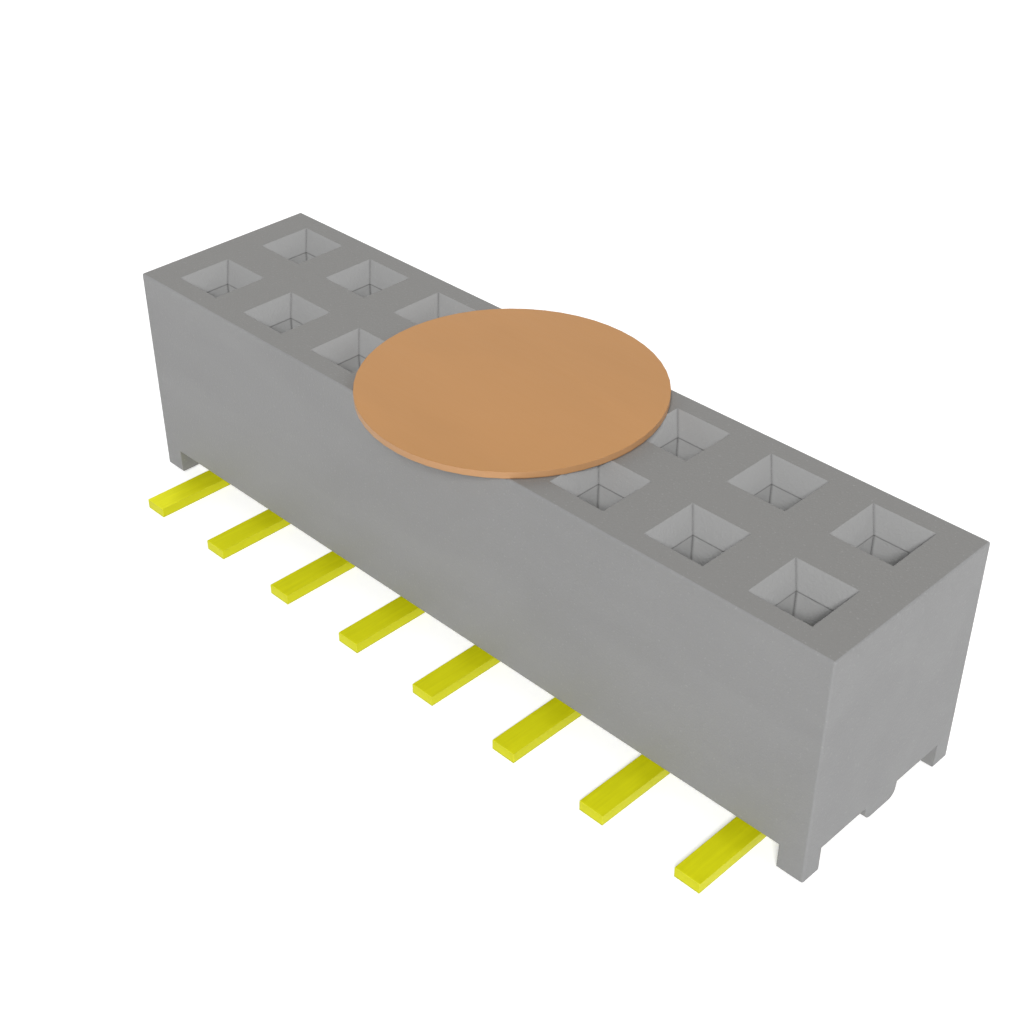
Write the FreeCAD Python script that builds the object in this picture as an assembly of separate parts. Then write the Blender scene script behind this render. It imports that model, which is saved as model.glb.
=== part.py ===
import FreeCAD, Part
import math
import os

# Board to board connector: a surface mount receptacle with two rows of sockets.
# Millimetres. X runs along the rows, Y across them and Z up. The origin is the middle
# of the footprint, at the level of the board that the tails are soldered to.
# Each contact is drawn about its own socket's axis, with its tail pointing along -Y.

# The grid of sockets, and the square post that each one takes
pitch = 2.00
columns = 8
row_spacing = 2.00
pin_size = 0.50

# The moulded body
end_allowance = 0.277
housing_width = 3.99
body_height = 3.937
edge_round = 0.04

# The feet at the four corners, and how far below them the tails reach
foot_length = 0.50
foot_width = 0.40
foot_height = 0.505
tail_drop = 0.055

# The keel between the rows, under the body
keel_width = 0.85
keel_depth = 0.295
keel_corner = 0.17
keel_draft_degrees = 4.0

# The way in for a post: a funnel, then a straight throat down to the chamber
mouth_size = 1.155
throat_size = 0.71
funnel_depth = 0.38
ceiling_thickness = 1.20

# The strip that the contacts are stamped from, and its bends
strip_thickness = 0.20
tail_width = 0.50
tail_span = 6.43
tail_bend_radius = 0.10
back_clearance = 0.05

# The folded base that holds a contact in its chamber
base_width = 1.20
base_height = 0.95
base_inset = 0.10
base_bend_radius = 0.05
base_lead_in = 0.10
arm_reach = 0.30
barb_height = 0.10
barb_length = 0.22
barb_tip = 0.04
barb_spacing = 0.42
side_clearance = 0.02

# The two spring beams that grip the post
beam_root_width = 0.56
beam_tip_width = 0.38
beam_straight = 0.10
beam_bend_radius = 0.20
beam_deflection = 0.07
flare_height = 0.42
flare_gap = 0.64
tip_chamfer = 0.09
tip_clearance = 0.10
beam_clearance = 0.08

# The chamber's mouth in the underside
entry_chamfer = 0.06

# The film disc that a vacuum nozzle picks the connector up by
pad_diameter = 5.50
pad_thickness = 0.127

# Levels and places that follow from those sizes
foot_level = tail_drop
body_level = foot_level + foot_height
top_level = body_level + body_height
ceiling_level = top_level - ceiling_thickness
base_level = body_level + base_inset
base_top_level = base_level + base_height
tip_level = ceiling_level - tip_clearance
pinch_level = tip_level - flare_height
housing_length = columns * pitch + 2 * end_allowance
back_face = pin_size / 2 + back_clearance
back_middle = back_face + strip_thickness / 2
back_wall = back_face + strip_thickness
inner_wall = arm_reach + barb_height
upper_wall = beam_root_width / 2 + beam_clearance
chamber_width = base_width + 2 * side_clearance
arm_middle = (base_width - strip_thickness) / 2


def vector(x, y, z):
    return FreeCAD.Vector(x, y, z)


def box(x_low, x_high, y_low, y_high, z_low, z_high):
    """A block between two corners."""
    size = (x_high - x_low, y_high - y_low, z_high - z_low)
    return Part.makeBox(*size, vector(x_low, y_low, z_low))


def rectangle(x_half, y_low, y_high, level):
    """A level rectangle that is centred in X."""
    corners = [(-x_half, y_low), (x_half, y_low), (x_half, y_high), (-x_half, y_high)]
    points = [vector(x, y, level) for x, y in corners]
    return Part.makePolygon(points + points[:1])


def tapered_hole(lower, upper):
    """The solid between two outlines at different levels."""
    return Part.makeLoft([lower, upper], True, True)


def strip_side(path, offset, inside_radius, thickness):
    """One face line of a bent strip, as points: straight ends, and start, middle and end of each bend."""
    def shifted(point, direction):
        return (point[0] - direction[1] * offset, point[1] + direction[0] * offset)

    runs = []
    for here, there in zip(path, path[1:]):
        length = math.dist(here, there)
        runs.append(((there[0] - here[0]) / length, (there[1] - here[1]) / length))
    pieces = [[shifted(path[0], runs[0])]]
    for corner, before, after in zip(path[1:], runs, runs[1:]):
        turn = math.atan2(
            before[0] * after[1] - before[1] * after[0],
            before[0] * after[0] + before[1] * after[1])
        side = math.copysign(1.0, turn)
        middle_radius = inside_radius + thickness / 2
        setback = middle_radius * math.tan(abs(turn) / 2)
        start = (corner[0] - before[0] * setback, corner[1] - before[1] * setback)
        end = (corner[0] + after[0] * setback, corner[1] + after[1] * setback)
        centre = (
            start[0] - before[1] * side * middle_radius,
            start[1] + before[0] * side * middle_radius)
        reach = (middle_radius - side * offset) / math.dist(centre, corner)
        middle = (
            centre[0] + (corner[0] - centre[0]) * reach,
            centre[1] + (corner[1] - centre[1]) * reach)
        pieces.append([shifted(start, before), middle, shifted(end, after)])
    pieces.append([shifted(path[-1], runs[-1])])
    return pieces


def bent_strip(path, inside_radius, place):
    """The edge-on face of a strip whose middle line follows path; place puts a point of it in space."""
    half = strip_thickness / 2
    left = strip_side(path, half, inside_radius, strip_thickness)
    right = strip_side(path, -half, inside_radius, strip_thickness)
    outline = left + [piece[::-1] for piece in right[::-1]]
    edges = []
    for piece, following in zip(outline, outline[1:] + outline[:1]):
        if len(piece) == 3:
            edges.append(Part.Arc(*[place(*point) for point in piece]).toShape())
        edges.append(Part.LineSegment(place(*piece[-1]), place(*following[0])).toShape())
    return Part.Face(Part.Wire(edges))


def tail_and_riser():
    """The solder tail, its upward bend and the riser into the base."""
    tail_end = (tail_span - row_spacing) / 2
    tail_middle = strip_thickness / 2
    path = [(-tail_end, tail_middle), (-back_middle, tail_middle), (-back_middle, base_top_level)]
    side = bent_strip(path, tail_bend_radius, lambda y, z: vector(-tail_width / 2, y, z))
    return side.extrude(vector(tail_width, 0, 0))


def folded_base():
    """The back plate with its two side walls folded round the post, which lead in at their lower corners."""
    path = [
        (-arm_middle, arm_reach), (-arm_middle, -back_middle),
        (arm_middle, -back_middle), (arm_middle, arm_reach)]
    section = bent_strip(path, base_bend_radius, lambda x, y: vector(x, y, base_level))
    walls = section.extrude(vector(0, 0, base_height))
    base_middle = base_level + base_height / 2
    lower_corners = [
        edge for edge in walls.Edges
        if edge.BoundBox.YMin > arm_reach / 2 and edge.BoundBox.ZMax < base_middle
        and edge.BoundBox.XLength > strip_thickness / 2 and edge.BoundBox.YLength < strip_thickness / 2]
    return walls.makeChamfer(base_lead_in, lower_corners)


def barb(x_centre, level):
    """A tooth on a side wall's cut edge: it slopes on the way in and bites against the way out."""
    x_low = x_centre - strip_thickness / 2
    root = arm_reach - strip_thickness / 2
    corners = [
        (root, level), (arm_reach, level), (arm_reach + barb_height, level),
        (arm_reach + barb_height, level + barb_tip), (arm_reach, level + barb_length),
        (root, level + barb_length)]
    points = [vector(x_low, y, z) for y, z in corners]
    tooth = Part.Face(Part.makePolygon(points + points[:1]))
    return tooth.extrude(vector(strip_thickness, 0, 0))


def spring_beam():
    """The beam on the +X side: it leans in to the pinch, flares out again and narrows to a chamfered tip."""
    root_level = base_level + base_height / 2
    pinch_middle = pin_size / 2 - beam_deflection + strip_thickness / 2
    tip_middle = (flare_gap + strip_thickness) / 2
    path = [
        (arm_middle, root_level), (arm_middle, base_top_level + beam_straight),
        (pinch_middle, pinch_level), (tip_middle, tip_level)]
    root_half = beam_root_width / 2
    tip_half = beam_tip_width / 2
    profile = bent_strip(path, beam_bend_radius, lambda x, z: vector(x, -root_half, z))
    leaned = profile.extrude(vector(0, beam_root_width, 0))
    tip_top = tip_level + strip_thickness
    corners = [
        (-root_half, root_level), (root_half, root_level), (root_half, base_top_level),
        (tip_half, tip_top), (-tip_half, tip_top), (-root_half, base_top_level)]
    points = [vector(0, y, z) for y, z in corners]
    outline = Part.Face(Part.makePolygon(points + points[:1]))
    beam = leaned.common(outline.extrude(vector(base_width, 0, 0)))
    tip_corners = [
        edge for edge in beam.Edges
        if edge.BoundBox.ZMin > tip_level - strip_thickness and edge.BoundBox.YLength < tip_half]
    return beam.makeChamfer(tip_chamfer, tip_corners)


def contact():
    """One contact about its socket's axis: tail, riser, folded base, barbs and two spring beams."""
    beam = spring_beam()
    other_beam = beam.mirror(vector(0, 0, 0), vector(1, 0, 0))
    barb_level = base_level + (base_height - barb_spacing - barb_length) / 2
    barbs = [
        barb(side * arm_middle, level)
        for side in (-1, 1)
        for level in (barb_level, barb_level + barb_spacing)]
    whole = folded_base().fuse([tail_and_riser(), beam, other_beam] + barbs)
    return whole.removeSplitter().Solids[0]


def socket_void():
    """All that is open round one socket's axis: funnel, throat, chamber and its mouth below."""
    mouth_half = mouth_size / 2
    throat_half = throat_size / 2
    chamber_half = chamber_width / 2
    funnel = tapered_hole(
        rectangle(throat_half, -throat_half, throat_half, top_level - funnel_depth),
        rectangle(mouth_half, -mouth_half, mouth_half, top_level))
    throat = box(
        -throat_half, throat_half, -throat_half, throat_half, ceiling_level, top_level - funnel_depth)
    upper_chamber = box(
        -chamber_half, chamber_half, -upper_wall, inner_wall, base_top_level, ceiling_level)
    lower_chamber = box(
        -chamber_half, chamber_half, -back_wall, inner_wall, body_level, base_top_level)
    entry = tapered_hole(
        rectangle(
            chamber_half + entry_chamfer, -back_wall - entry_chamfer, inner_wall + entry_chamfer,
            body_level),
        rectangle(chamber_half, -back_wall, inner_wall, body_level + entry_chamfer))
    return funnel.fuse([throat, upper_chamber, lower_chamber, entry]).removeSplitter()


def in_socket(shape, column, row):
    """A copy of a shape in one socket's place; row is -1 in front and 1 behind, where it faces the other way."""
    placed = shape.copy()
    if row > 0:
        placed.rotate(vector(0, 0, 0), vector(0, 0, 1), 180)
    placed.translate(vector((column - (columns - 1) / 2) * pitch, row * row_spacing / 2, 0))
    return placed


def keel():
    """The rib between the rows, with drafted sides and rounded lower corners."""
    half = keel_width / 2
    lean = keel_depth * math.tan(math.radians(keel_draft_degrees))
    keel_level = body_level - keel_depth
    corners = [
        (-half, body_level), (half, body_level), (half - lean, keel_level), (-half + lean, keel_level)]
    points = [vector(-housing_length / 2, y, z) for y, z in corners]
    rib = Part.Face(Part.makePolygon(points + points[:1])).extrude(vector(housing_length, 0, 0))
    lower_edges = [
        edge for edge in rib.Edges
        if edge.BoundBox.ZMax < keel_level + keel_depth / 2 and edge.BoundBox.XLength > housing_length / 2]
    return rib.makeFillet(keel_corner, lower_edges)


def housing():
    """The moulding: a block on four feet, with a keel below and a void for each contact."""
    half_length = housing_length / 2
    half_width = housing_width / 2
    block = box(-half_length, half_length, -half_width, half_width, foot_level, top_level)
    block = block.makeFillet(edge_round, block.Edges)
    inner_x = half_length - foot_length
    inner_y = half_width - foot_width
    between_feet = [
        box(-inner_x, inner_x, -housing_width, housing_width, 0, body_level),
        box(-housing_length, housing_length, -inner_y, inner_y, 0, body_level)]
    void = socket_void()
    voids = [in_socket(void, column, row) for column in range(columns) for row in (-1, 1)]
    return block.cut(between_feet).fuse(keel()).removeSplitter().cut(voids).Solids[0]


def pick_up_pad():
    """The film disc, stuck flat on the middle of the top face."""
    return Part.makeCylinder(pad_diameter / 2, pad_thickness, vector(0, 0, top_level))


def export(name, shape):
    shape.exportStep(os.path.join("parts", name + ".step"))
    bounds = shape.BoundBox
    print(
        name, "valid" if shape.isValid() else "NOT VALID", len(shape.Solids), "solid",
        len(shape.Faces), "faces", round(shape.Volume, 4), "mm3",
        "Y", round(bounds.YMin, 3), round(bounds.YMax, 3),
        "Z", round(bounds.ZMin, 3), round(bounds.ZMax, 3))


os.makedirs("parts", exist_ok=True)
export("housing", housing())
export("pick_up_pad", pick_up_pad())
one_contact = contact()
for row, row_name in ((-1, "front"), (1, "rear")):
    for column in range(columns):
        export(f"{row_name}_contact_{column + 1}", in_socket(one_contact, column, row))
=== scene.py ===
import math

import bmesh
import bpy
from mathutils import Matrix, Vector


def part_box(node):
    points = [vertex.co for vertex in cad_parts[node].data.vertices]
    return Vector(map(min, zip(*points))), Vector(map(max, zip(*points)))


# The bare connector: a moulded housing, sixteen stamped contacts and a film disc, with no finish yet.
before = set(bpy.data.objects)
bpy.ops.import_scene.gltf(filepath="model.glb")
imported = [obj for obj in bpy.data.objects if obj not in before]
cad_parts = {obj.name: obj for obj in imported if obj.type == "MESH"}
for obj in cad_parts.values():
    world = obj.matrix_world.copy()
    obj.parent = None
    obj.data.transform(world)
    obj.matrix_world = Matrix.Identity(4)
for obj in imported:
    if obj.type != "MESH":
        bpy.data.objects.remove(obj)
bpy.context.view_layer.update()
MM = 0.001

# The housing is one injection moulding in grey, glass-filled, high-temperature plastic.
# The mould's spark-eroded walls leave a fine matt skin, and the flow along the rows leaves faint streaks.
# Core pins form the sockets, with a witness line round the foot of each funnel. Their walls are painted
# paler, and the shafts palest: painted light in place of the shade inside them.
MOULDED_GREY = (0.260, 0.260, 0.261)
STREAK_GREY = (0.277, 0.277, 0.278)
# The level top's darker, warmer grey is painted shade, for the lesser light that falls on it.
TOP_PAINTED_SHADE_GREY = (0.230, 0.227, 0.220)
# The paler grey of the socket walls and the palest grey of the shafts are painted light, in place of the
# shade inside the sockets.
PAINTED_LIGHT_PIN_WALL_GREY = (0.340, 0.340, 0.339)
PAINTED_LIGHT_SHAFT_GREY = (0.445, 0.445, 0.443)
GLASS_FLECK = (0.42, 0.42, 0.415)
BURNISHED_GREY = (0.38, 0.38, 0.375)
# This near-black draws the witness line, and it is also the painted shade laid in inward corners.
WITNESS_AND_PAINTED_SHADE_GREY = (0.060, 0.060, 0.060)
FLECK_SHARE = 0.32
BURNISHED_SHARE = 0.45
WITNESS_SHARE = 0.5
CORNER_PAINTED_SHADE_SHARE = 0.65
SKIN_GRAINS_PER_MM = 20.0
SKIN_FINENESS = 0.6
SKIN_DEPTH_MM = 0.010
SKIN_ROUGHNESS = (0.50, 0.66)
FLOW_PATCHES_PER_MM = 0.8
FLOW_STRETCH = (0.35, 1.0, 1.0)
HOUSING_EDGE_MM = 0.03
HOUSING_CORNER_SHADE_MM = 0.05
OUTER_SKIN_MM = 0.15
UNDERSIDE_MM = 0.56
FUNNEL_DEPTH_MM = 0.38
WITNESS_LINE_MM = 0.025
PIN_WALL_TURN = 0.65
PAINTED_SHADE_TOP_TURN = 0.95
EVEN = (1.0, 1.0, 1.0)
NUMBER = "NodeSocketFloat"
VECTOR = "NodeSocketVector"


def new_group(name, inputs, outputs):
    """An empty node group with its first and last node; inputs and outputs give the kind of each socket."""
    group = bpy.data.node_groups.new(name, "ShaderNodeTree")
    for label, kind in inputs.items():
        group.interface.new_socket(label, in_out="INPUT", socket_type=kind)
    for label, kind in outputs.items():
        group.interface.new_socket(label, in_out="OUTPUT", socket_type=kind)
    return group, group.nodes.new("NodeGroupInput"), group.nodes.new("NodeGroupOutput")


def feed(tree, slot, source):
    """Links an input to another node's output, or gives it a plain number or colour."""
    if isinstance(source, bpy.types.NodeSocket):
        tree.links.new(source, slot)
    elif isinstance(source, tuple):
        slot.default_value = (*source, 1.0)
    else:
        slot.default_value = source


def math_node(tree, operation, first, second):
    """A Math node; each operand is a socket or a number."""
    node = tree.nodes.new("ShaderNodeMath")
    node.operation = operation
    feed(tree, node.inputs[0], first)
    feed(tree, node.inputs[1], second)
    return node.outputs[0]


MIX_SHARE_INPUT = 0
MIX_FIRST_INPUT = 6
MIX_SECOND_INPUT = 7
MIX_COLOUR_OUTPUT = 2


def mix_colour(tree, share, first, second):
    """A Mix node for colours: the first where the share is 0, and the second where it is 1."""
    node = tree.nodes.new("ShaderNodeMix")
    node.data_type = "RGBA"
    feed(tree, node.inputs[MIX_SHARE_INPUT], share)
    feed(tree, node.inputs[MIX_FIRST_INPUT], first)
    feed(tree, node.inputs[MIX_SECOND_INPUT], second)
    return node.outputs[MIX_COLOUR_OUTPUT]


def laid_over(tree, under, colour, mask, most):
    """A colour laid over another where a mask says, and nowhere more than the share given by most."""
    return mix_colour(tree, math_node(tree, "MULTIPLY", mask, most), under, colour)


def ramp(tree, value, nothing, full):
    """A Map Range node: 0 where the value is at nothing, and 1 where it is at full."""
    node = tree.nodes.new("ShaderNodeMapRange")
    node.inputs["From Min"].default_value = nothing
    node.inputs["From Max"].default_value = full
    tree.links.new(value, node.inputs["Value"])
    return node.outputs["Result"]


def between(tree, value, lowest, highest):
    """1 where a value lies between two others."""
    above = math_node(tree, "GREATER_THAN", value, lowest)
    return math_node(tree, "MULTIPLY", above, math_node(tree, "LESS_THAN", value, highest))


def place_in_millimetres(tree):
    """The point on the piece, in millimetres in the connector's own frame."""
    place = tree.nodes.new("ShaderNodeTexCoord")
    scale = tree.nodes.new("ShaderNodeVectorMath")
    scale.operation = "SCALE"
    scale.inputs["Scale"].default_value = 1 / MM
    tree.links.new(place.outputs["Object"], scale.inputs[0])
    return scale.outputs[0]


def stretched_noise(group, entry, scale_input, detail):
    """Noise over the piece, drawn out by the group's Stretch and scaled by the input named scale_input."""
    stretched = group.nodes.new("ShaderNodeVectorMath")
    stretched.operation = "MULTIPLY"
    group.links.new(place_in_millimetres(group), stretched.inputs[0])
    group.links.new(entry.outputs["Stretch"], stretched.inputs[1])
    noise = group.nodes.new("ShaderNodeTexNoise")
    noise.inputs["Detail"].default_value = detail
    group.links.new(stretched.outputs[0], noise.inputs["Vector"])
    group.links.new(entry.outputs[scale_input], noise.inputs["Scale"])
    return noise


GRAIN_DETAIL = 3.0
FLECK_STARTS = 0.60
FLECK_FULL = 0.72


def grain_group():
    """Fine relief: a grain of a given size, drawn out along the piece by a stretch in each direction."""
    group, entry, end = new_group(
        "fine grain",
        {"Grains per mm": NUMBER, "Stretch": VECTOR, "Fineness": NUMBER},
        {"Height": NUMBER, "Fleck": NUMBER})
    grain = stretched_noise(group, entry, "Grains per mm", GRAIN_DETAIL)
    group.links.new(entry.outputs["Fineness"], grain.inputs["Roughness"])
    group.links.new(grain.outputs["Fac"], end.inputs["Height"])
    group.links.new(ramp(group, grain.outputs["Fac"], FLECK_STARTS, FLECK_FULL), end.inputs["Fleck"])
    return group


DRIFT_DETAIL = 4.0
DRIFT_DISTORTION = 0.6
DRIFT_STARTS = 0.35
DRIFT_FULL = 0.65


def drift_group():
    """Slow drift between two colours, in patches drawn out by a stretch, as flow and plating leave them."""
    group, entry, end = new_group(
        "slow drift",
        {"Patches per mm": NUMBER, "Stretch": VECTOR},
        {"Share": NUMBER})
    patches = stretched_noise(group, entry, "Patches per mm", DRIFT_DETAIL)
    patches.inputs["Distortion"].default_value = DRIFT_DISTORTION
    group.links.new(ramp(group, patches.outputs["Fac"], DRIFT_STARTS, DRIFT_FULL), end.inputs["Share"])
    return group


# An edge starts where the softened normal leaves the true one, and a corner, which is given painted shade,
# where a place is less open.
EDGE_SAMPLES = 6
EDGE_STARTS = 0.995
EDGE_FULL = 0.80
OPEN_STARTS = 0.80
OPEN_FULL = 0.95
CORNER_SHADE_STARTS = 0.95
CORNER_SHADE_FULL = 0.55


def edge_group():
    """The normal softened over a radius, with masks of the outward edges and of the inward corners, where
    shade is painted.
    """
    group, entry, end = new_group(
        "broken edge and painted corner shade",
        {"Radius mm": NUMBER, "Corner mm": NUMBER},
        {"Normal": VECTOR, "Edge": NUMBER, "Corner": NUMBER})
    softened = group.nodes.new("ShaderNodeBevel")
    softened.samples = EDGE_SAMPLES
    radius = math_node(group, "MULTIPLY", entry.outputs["Radius mm"], MM)
    group.links.new(radius, softened.inputs["Radius"])
    group.links.new(softened.outputs["Normal"], end.inputs["Normal"])
    geometry = group.nodes.new("ShaderNodeNewGeometry")
    agreement = group.nodes.new("ShaderNodeVectorMath")
    agreement.operation = "DOT_PRODUCT"
    group.links.new(softened.outputs["Normal"], agreement.inputs[0])
    group.links.new(geometry.outputs["True Normal"], agreement.inputs[1])
    turned = ramp(group, agreement.outputs["Value"], EDGE_STARTS, EDGE_FULL)
    openness = group.nodes.new("ShaderNodeAmbientOcclusion")
    openness.samples = EDGE_SAMPLES
    reach = math_node(group, "MULTIPLY", entry.outputs["Corner mm"], MM)
    group.links.new(reach, openness.inputs["Distance"])
    outward = ramp(group, openness.outputs["AO"], OPEN_STARTS, OPEN_FULL)
    group.links.new(math_node(group, "MULTIPLY", turned, outward), end.inputs["Edge"])
    group.links.new(ramp(group, openness.outputs["AO"], CORNER_SHADE_STARTS, CORNER_SHADE_FULL), end.inputs["Corner"])
    return group


FINE_GRAIN = grain_group()
SLOW_DRIFT = drift_group()
BROKEN_EDGE_AND_CORNER_SHADE = edge_group()


def place_group(tree, group, **values):
    """A node group in a material, with its own values; an underscore in a name stands for a space."""
    node = tree.nodes.new("ShaderNodeGroup")
    node.node_tree = group
    for name, value in values.items():
        node.inputs[name.replace("_", " ")].default_value = value
    return node


def new_material(name):
    """A material with its node tree and its Principled BSDF."""
    material = bpy.data.materials.new(name)
    material.use_nodes = True
    return material, material.node_tree, material.node_tree.nodes["Principled BSDF"]


def upward_turn(tree):
    """How far a face is turned upward: 1 is level, 0 is upright and -1 looks down."""
    geometry = tree.nodes.new("ShaderNodeNewGeometry")
    split = tree.nodes.new("ShaderNodeSeparateXYZ")
    tree.links.new(geometry.outputs["True Normal"], split.inputs[0])
    return split.outputs["Z"]


def upright(tree, most):
    """1 on the faces that are turned up or down by less than most."""
    return between(tree, upward_turn(tree), -most, most)


def set_roughness(tree, shader, height, limits):
    """Roughness between its two limits, rougher where the grain stands higher."""
    smoothest, roughest = limits
    rise = math_node(tree, "MULTIPLY", height, roughest - smoothest)
    tree.links.new(math_node(tree, "ADD", rise, smoothest), shader.inputs["Roughness"])


def set_relief(tree, shader, height, normal, depth_mm):
    """Bump on top of the softened normal."""
    bump = tree.nodes.new("ShaderNodeBump")
    bump.inputs["Distance"].default_value = depth_mm * MM
    tree.links.new(height, bump.inputs["Height"])
    tree.links.new(normal, bump.inputs["Normal"])
    tree.links.new(bump.outputs["Normal"], shader.inputs["Normal"])


def dress(node_name, material):
    """Gives a piece of the frame its one material."""
    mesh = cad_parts[node_name].data
    mesh.materials.clear()
    mesh.materials.append(material)


def painted_light_and_witness_marks(tree):
    """Masks of the socket walls: all of them and the shafts' walls, which get painted light, and the witness
    lines.
    """
    far_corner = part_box("housing")[1] / MM
    funnel_foot = far_corner.z - FUNNEL_DEPTH_MM
    place = tree.nodes.new("ShaderNodeSeparateXYZ")
    tree.links.new(place_in_millimetres(tree), place.inputs[0])
    along = between(tree, place.outputs["X"], OUTER_SKIN_MM - far_corner.x, far_corner.x - OUTER_SKIN_MM)
    across = between(tree, place.outputs["Y"], OUTER_SKIN_MM - far_corner.y, far_corner.y - OUTER_SKIN_MM)
    inside = math_node(tree, "MULTIPLY", along, across)
    above = math_node(tree, "GREATER_THAN", place.outputs["Z"], UNDERSIDE_MM)
    walls = math_node(tree, "MULTIPLY", above, upright(tree, PIN_WALL_TURN))
    painted_light_walls = math_node(tree, "MULTIPLY", inside, walls)
    below = math_node(tree, "LESS_THAN", place.outputs["Z"], funnel_foot)
    line = between(tree, place.outputs["Z"], funnel_foot - WITNESS_LINE_MM, funnel_foot)
    return painted_light_walls, math_node(tree, "MULTIPLY", painted_light_walls, below), math_node(tree, "MULTIPLY", painted_light_walls, line)


def moulded_plastic():
    material, tree, shader = new_material("moulded grey plastic")
    grain = place_group(
        tree, FINE_GRAIN, Grains_per_mm=SKIN_GRAINS_PER_MM, Stretch=EVEN, Fineness=SKIN_FINENESS)
    flow = place_group(tree, SLOW_DRIFT, Patches_per_mm=FLOW_PATCHES_PER_MM, Stretch=FLOW_STRETCH)
    edge = place_group(tree, BROKEN_EDGE_AND_CORNER_SHADE, Radius_mm=HOUSING_EDGE_MM, Corner_mm=HOUSING_CORNER_SHADE_MM)
    top = math_node(tree, "GREATER_THAN", upward_turn(tree), PAINTED_SHADE_TOP_TURN)
    painted_light_walls, painted_light_shaft, witness = painted_light_and_witness_marks(tree)
    colour = mix_colour(tree, flow.outputs["Share"], MOULDED_GREY, STREAK_GREY)
    # Level faces get a darker grey: painted shade for the lesser light on the top.
    colour = mix_colour(tree, top, colour, TOP_PAINTED_SHADE_GREY)
    # Paler socket walls and palest shafts: painted light in place of the shade inside the sockets.
    colour = mix_colour(tree, painted_light_walls, colour, PAINTED_LIGHT_PIN_WALL_GREY)
    colour = mix_colour(tree, painted_light_shaft, colour, PAINTED_LIGHT_SHAFT_GREY)
    colour = laid_over(tree, colour, GLASS_FLECK, grain.outputs["Fleck"], FLECK_SHARE)
    colour = laid_over(tree, colour, BURNISHED_GREY, edge.outputs["Edge"], BURNISHED_SHARE)
    colour = laid_over(tree, colour, WITNESS_AND_PAINTED_SHADE_GREY, witness, WITNESS_SHARE)
    # Inward corners darkened: painted shade.
    colour = laid_over(tree, colour, WITNESS_AND_PAINTED_SHADE_GREY, edge.outputs["Corner"], CORNER_PAINTED_SHADE_SHARE)
    tree.links.new(colour, shader.inputs["Base Color"])
    set_roughness(tree, shader, grain.outputs["Height"], SKIN_ROUGHNESS)
    set_relief(tree, shader, grain.outputs["Height"], edge.outputs["Normal"], SKIN_DEPTH_MM)
    return material


dress("housing", moulded_plastic())

# The sixteen contacts are stamped from copper alloy strip, folded, plated and pressed in from below.
# The plating is a bright, lemon yellow gold, with the strip's rolling lines still faint under it.
CONTACTS_A_ROW = 8
GOLD = (0.785, 0.781, 0.006)
PALE_GOLD = (0.92, 0.915, 0.012)
# The darker gold of upright faces is painted shade, as these sides get more light than the tops.
UPRIGHT_PAINTED_SHADE_GOLD = (0.640, 0.637, 0.012)
EDGE_GOLD = (0.92, 0.92, 0.12)
# The dark gold of inward corners is painted shade.
CORNER_PAINTED_SHADE_GOLD = (0.20, 0.19, 0.010)
EDGE_GOLD_SHARE = 0.5
CORNER_PAINTED_SHADE_GOLD_SHARE = 0.6
GLOSS_TINT = (1.0, 0.98, 0.15)
METAL_SHARE = 0.35
PLATING_ROUGHNESS = (0.30, 0.44)
ROLLING_LINES_PER_MM = 15.0
ROLLING_STRETCH = (1.0, 0.05, 0.05)
ROLLING_FINENESS = 0.5
ROLLING_DEPTH_MM = 0.0030
PLATING_PATCHES_PER_MM = 1.6
PLATING_DRIFT = 0.6
STRIP_EDGE_MM = 0.022
STRIP_CORNER_SHADE_MM = 0.03
UPRIGHT_TURN = 0.5


def gold_plating():
    material, tree, shader = new_material("gold plating")
    lines = place_group(
        tree, FINE_GRAIN,
        Grains_per_mm=ROLLING_LINES_PER_MM, Stretch=ROLLING_STRETCH, Fineness=ROLLING_FINENESS)
    tone = place_group(tree, SLOW_DRIFT, Patches_per_mm=PLATING_PATCHES_PER_MM, Stretch=EVEN)
    edge = place_group(tree, BROKEN_EDGE_AND_CORNER_SHADE, Radius_mm=STRIP_EDGE_MM, Corner_mm=STRIP_CORNER_SHADE_MM)
    drift = math_node(tree, "MULTIPLY", tone.outputs["Share"], PLATING_DRIFT)
    streaks = math_node(tree, "MULTIPLY", lines.outputs["Height"], drift)
    pale = math_node(tree, "ADD", lines.outputs["Height"], streaks)
    colour = mix_colour(tree, pale, GOLD, PALE_GOLD)
    # Upright faces get a darker gold: painted shade for the extra light on the sides.
    colour = mix_colour(tree, upright(tree, UPRIGHT_TURN), colour, UPRIGHT_PAINTED_SHADE_GOLD)
    colour = laid_over(tree, colour, EDGE_GOLD, edge.outputs["Edge"], EDGE_GOLD_SHARE)
    # Inward corners darkened: painted shade.
    colour = laid_over(tree, colour, CORNER_PAINTED_SHADE_GOLD, edge.outputs["Corner"], CORNER_PAINTED_SHADE_GOLD_SHARE)
    tree.links.new(colour, shader.inputs["Base Color"])
    shader.inputs["Metallic"].default_value = METAL_SHARE
    shader.inputs["Specular Tint"].default_value = (*GLOSS_TINT, 1.0)
    set_roughness(tree, shader, lines.outputs["Height"], PLATING_ROUGHNESS)
    set_relief(tree, shader, lines.outputs["Height"], edge.outputs["Normal"], ROLLING_DEPTH_MM)
    return material


plating = gold_plating()
for row in ("front", "rear"):
    for number in range(1, CONTACTS_A_ROW + 1):
        dress(f"{row}_contact_{number}", plating)

# The pick-up disc is die-cut from amber-tan polyimide film, and its adhesive holds it to the housing's top.
# It is smooth and a little glossy, with faint lines from the roll, and its cut edge is paler than its face.
FILM_TAN = (0.488, 0.239, 0.079)
FILM_LIGHT = (0.519, 0.254, 0.085)
CUT_EDGE = (0.49, 0.262, 0.119)
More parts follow.
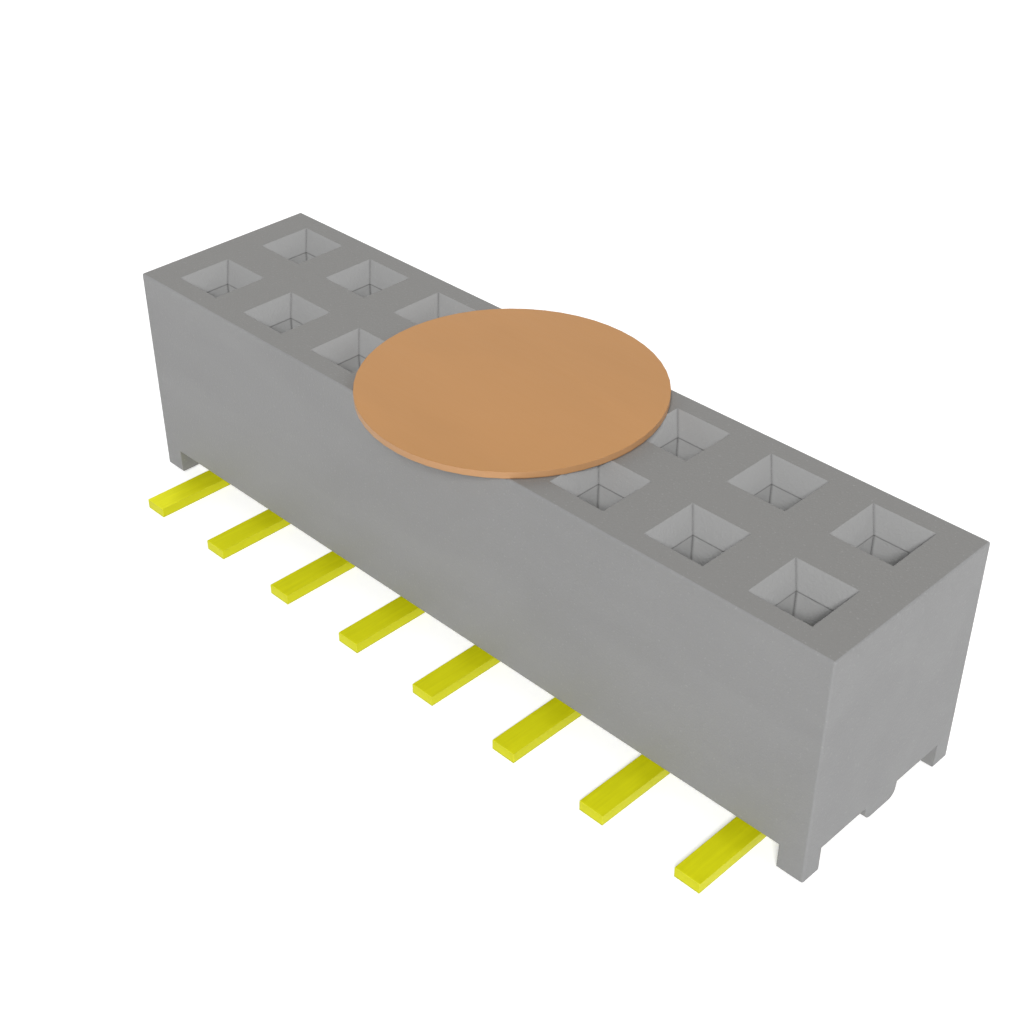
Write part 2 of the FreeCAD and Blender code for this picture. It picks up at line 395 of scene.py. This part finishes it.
# The dark tan of inward corners is painted shade.
CORNER_PAINTED_SHADE_TAN = (0.22, 0.10, 0.035)
CORNER_PAINTED_SHADE_TAN_SHARE = 0.6
FILM_ROUGHNESS = (0.38, 0.50)
WEB_LINES_PER_MM = 18.0
WEB_STRETCH = (0.06, 1.0, 1.0)
WEB_FINENESS = 0.4
WEB_DEPTH_MM = 0.0006
TONE_PATCHES_PER_MM = 0.5
TONE_STRETCH = (0.5, 1.0, 1.0)
FILM_EDGE_MM = 0.02
FILM_CORNER_SHADE_MM = 0.03


def polyimide_film():
    material, tree, shader = new_material("polyimide film")
    web = place_group(
        tree, FINE_GRAIN, Grains_per_mm=WEB_LINES_PER_MM, Stretch=WEB_STRETCH, Fineness=WEB_FINENESS)
    tone = place_group(tree, SLOW_DRIFT, Patches_per_mm=TONE_PATCHES_PER_MM, Stretch=TONE_STRETCH)
    edge = place_group(tree, BROKEN_EDGE_AND_CORNER_SHADE, Radius_mm=FILM_EDGE_MM, Corner_mm=FILM_CORNER_SHADE_MM)
    colour = mix_colour(tree, tone.outputs["Share"], FILM_TAN, FILM_LIGHT)
    colour = mix_colour(tree, upright(tree, UPRIGHT_TURN), colour, CUT_EDGE)
    # Inward corners darkened: painted shade.
    colour = laid_over(tree, colour, CORNER_PAINTED_SHADE_TAN, edge.outputs["Corner"], CORNER_PAINTED_SHADE_TAN_SHARE)
    tree.links.new(colour, shader.inputs["Base Color"])
    set_roughness(tree, shader, web.outputs["Height"], FILM_ROUGHNESS)
    set_relief(tree, shader, web.outputs["Height"], edge.outputs["Normal"], WEB_DEPTH_MM)
    return material


dress("pick_up_pad", polyimide_film())

# The table that the connector stands on for its picture: a wide white disc, which keeps the soft shadow.
# Seen directly it is as white as the room, and from below it lets the camera through.
TABLE_RADIUS = 600 * MM
TABLE_CORNERS = 96
TABLE_WHITE = (0.80, 0.80, 0.80)
TABLE_LIFT = 0.45
FADE_STARTS = 14 * MM
FADE_ENDS = 45 * MM


def seen_directly(tree):
    """1 for rays from the camera, a reflection or a clear body, and 0 for the light's own bounces."""
    path = tree.nodes.new("ShaderNodeLightPath")
    mirrored = math_node(tree, "MAXIMUM", path.outputs["Is Glossy Ray"], path.outputs["Is Transmission Ray"])
    return math_node(tree, "MAXIMUM", path.outputs["Is Camera Ray"], mirrored)


def white_table():
    """White paper with a glow that grows from TABLE_LIFT under the connector to full white further out."""
    material, tree, shader = new_material("white table")
    tree.nodes.remove(shader)
    paper = tree.nodes.new("ShaderNodeBsdfDiffuse")
    paper.inputs["Color"].default_value = (*TABLE_WHITE, 1.0)
    distance = tree.nodes.new("ShaderNodeVectorMath")
    distance.operation = "LENGTH"
    place = tree.nodes.new("ShaderNodeTexCoord")
    tree.links.new(place.outputs["Object"], distance.inputs[0])
    lift = tree.nodes.new("ShaderNodeMapRange")
    lift.interpolation_type = "SMOOTHSTEP"
    lift.inputs["From Min"].default_value = FADE_STARTS
    lift.inputs["From Max"].default_value = FADE_ENDS
    lift.inputs["To Min"].default_value = TABLE_LIFT
    tree.links.new(distance.outputs["Value"], lift.inputs["Value"])
    glow = tree.nodes.new("ShaderNodeEmission")
    strength = math_node(tree, "MULTIPLY", seen_directly(tree), lift.outputs["Result"])
    tree.links.new(strength, glow.inputs["Strength"])
    both = tree.nodes.new("ShaderNodeAddShader")
    tree.links.new(paper.outputs[0], both.inputs[0])
    tree.links.new(glow.outputs[0], both.inputs[1])
    clear = tree.nodes.new("ShaderNodeBsdfTransparent")
    underneath = tree.nodes.new("ShaderNodeNewGeometry")
    choice = tree.nodes.new("ShaderNodeMixShader")
    tree.links.new(underneath.outputs["Backfacing"], choice.inputs[0])
    tree.links.new(both.outputs[0], choice.inputs[1])
    tree.links.new(clear.outputs[0], choice.inputs[2])
    tree.links.new(choice.outputs[0], tree.nodes["Material Output"].inputs["Surface"])
    return material


def table_top():
    mesh = bpy.data.meshes.new("table")
    shape = bmesh.new()
    bmesh.ops.create_circle(shape, cap_ends=True, radius=TABLE_RADIUS, segments=TABLE_CORNERS)
    shape.to_mesh(mesh)
    shape.free()
    mesh.materials.append(white_table())
    table = bpy.data.objects.new("table", mesh)
    bpy.context.scene.collection.objects.link(table)


table_top()

# The room round the table is plain white on all sides.
# It gives the connector a weak, even light, and the camera sees it as full white.
ROOM_LIGHT = 0.20
ROOM_WHITE = 1.0


def white_room():
    world = bpy.data.worlds.new("white room")
    world.use_nodes = True
    tree = world.node_tree
    background = tree.nodes["Background"]
    background.inputs["Color"].default_value = (1.0, 1.0, 1.0, 1.0)
    extra = math_node(tree, "MULTIPLY", seen_directly(tree), ROOM_WHITE - ROOM_LIGHT)
    tree.links.new(math_node(tree, "ADD", extra, ROOM_LIGHT), background.inputs["Strength"])
    bpy.context.scene.world = world


white_room()

# Four soft boxes: the main one stands beside the camera and a little higher, so that it reaches into the
# sockets, and three weaker, lower ones keep the ends and the back from going dark.
# Each is given by its direction, its distance, its side and how much it adds to a white face turned to it.
SOFT_BOXES = {
    "main": {"azimuth": 39.0, "elevation": 38.0, "distance": 0.20, "side": 0.045, "adds": 0.84},
    "right": {"azimuth": 97.0, "elevation": 25.0, "distance": 0.20, "side": 0.10, "adds": 0.14},
    "back": {"azimuth": 185.0, "elevation": 14.0, "distance": 0.20, "side": 0.12, "adds": 0.55},
    "left": {"azimuth": 265.0, "elevation": 12.0, "distance": 0.20, "side": 0.12, "adds": 0.40},
}


def direction(azimuth, elevation):
    """The unit vector towards a place round the connector; azimuth 0 is in front, and 90 is to the right."""
    round_about = math.radians(azimuth)
    up = math.radians(elevation)
    level = math.cos(up)
    return Vector((math.sin(round_about) * level, -math.cos(round_about) * level, math.sin(up)))


def soft_box(name, box):
    """A square lamp, with the power that lights a white face in the middle to the value of adds."""
    light = bpy.data.lights.new(name, "AREA")
    light.shape = "SQUARE"
    light.size = box["side"]
    light.energy = box["adds"] * (math.pi * box["distance"]) ** 2
    lamp = bpy.data.objects.new(name, light)
    towards = direction(box["azimuth"], box["elevation"])
    lamp.location = towards * box["distance"]
    lamp.rotation_euler = towards.to_track_quat("Z", "Y").to_euler()
    lamp.visible_glossy = False
    bpy.context.scene.collection.objects.link(lamp)


for box_name, box in SOFT_BOXES.items():
    soft_box(box_name, box)

# The camera stands at the photograph's corner view, on the diagonal of a cube round the connector.
# It looks at a point inside the housing, a little below the middle of its height.
VIEW_AZIMUTH = 45.0
VIEW_ELEVATION = math.degrees(math.asin(1 / math.sqrt(3)))
VIEW_ANGLE = 35.0
VIEW_DISTANCE = 29.72 * MM
TARGET_BELOW_TOP = 2.594 * MM
NEAREST_SEEN = VIEW_DISTANCE / 100
FURTHEST_SEEN = 10.0


def camera():
    lens = bpy.data.cameras.new("camera")
    lens.angle = math.radians(VIEW_ANGLE)
    lens.clip_start = NEAREST_SEEN
    lens.clip_end = FURTHEST_SEEN
    stand = bpy.data.objects.new("camera", lens)
    target = Vector((0, 0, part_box("housing")[1].z - TARGET_BELOW_TOP))
    back = direction(VIEW_AZIMUTH, VIEW_ELEVATION)
    stand.location = target + back * VIEW_DISTANCE
    stand.rotation_euler = back.to_track_quat("Z", "Y").to_euler()
    bpy.context.scene.collection.objects.link(stand)
    bpy.context.scene.camera = stand
    bpy.context.scene.view_settings.view_transform = "Standard"


camera()
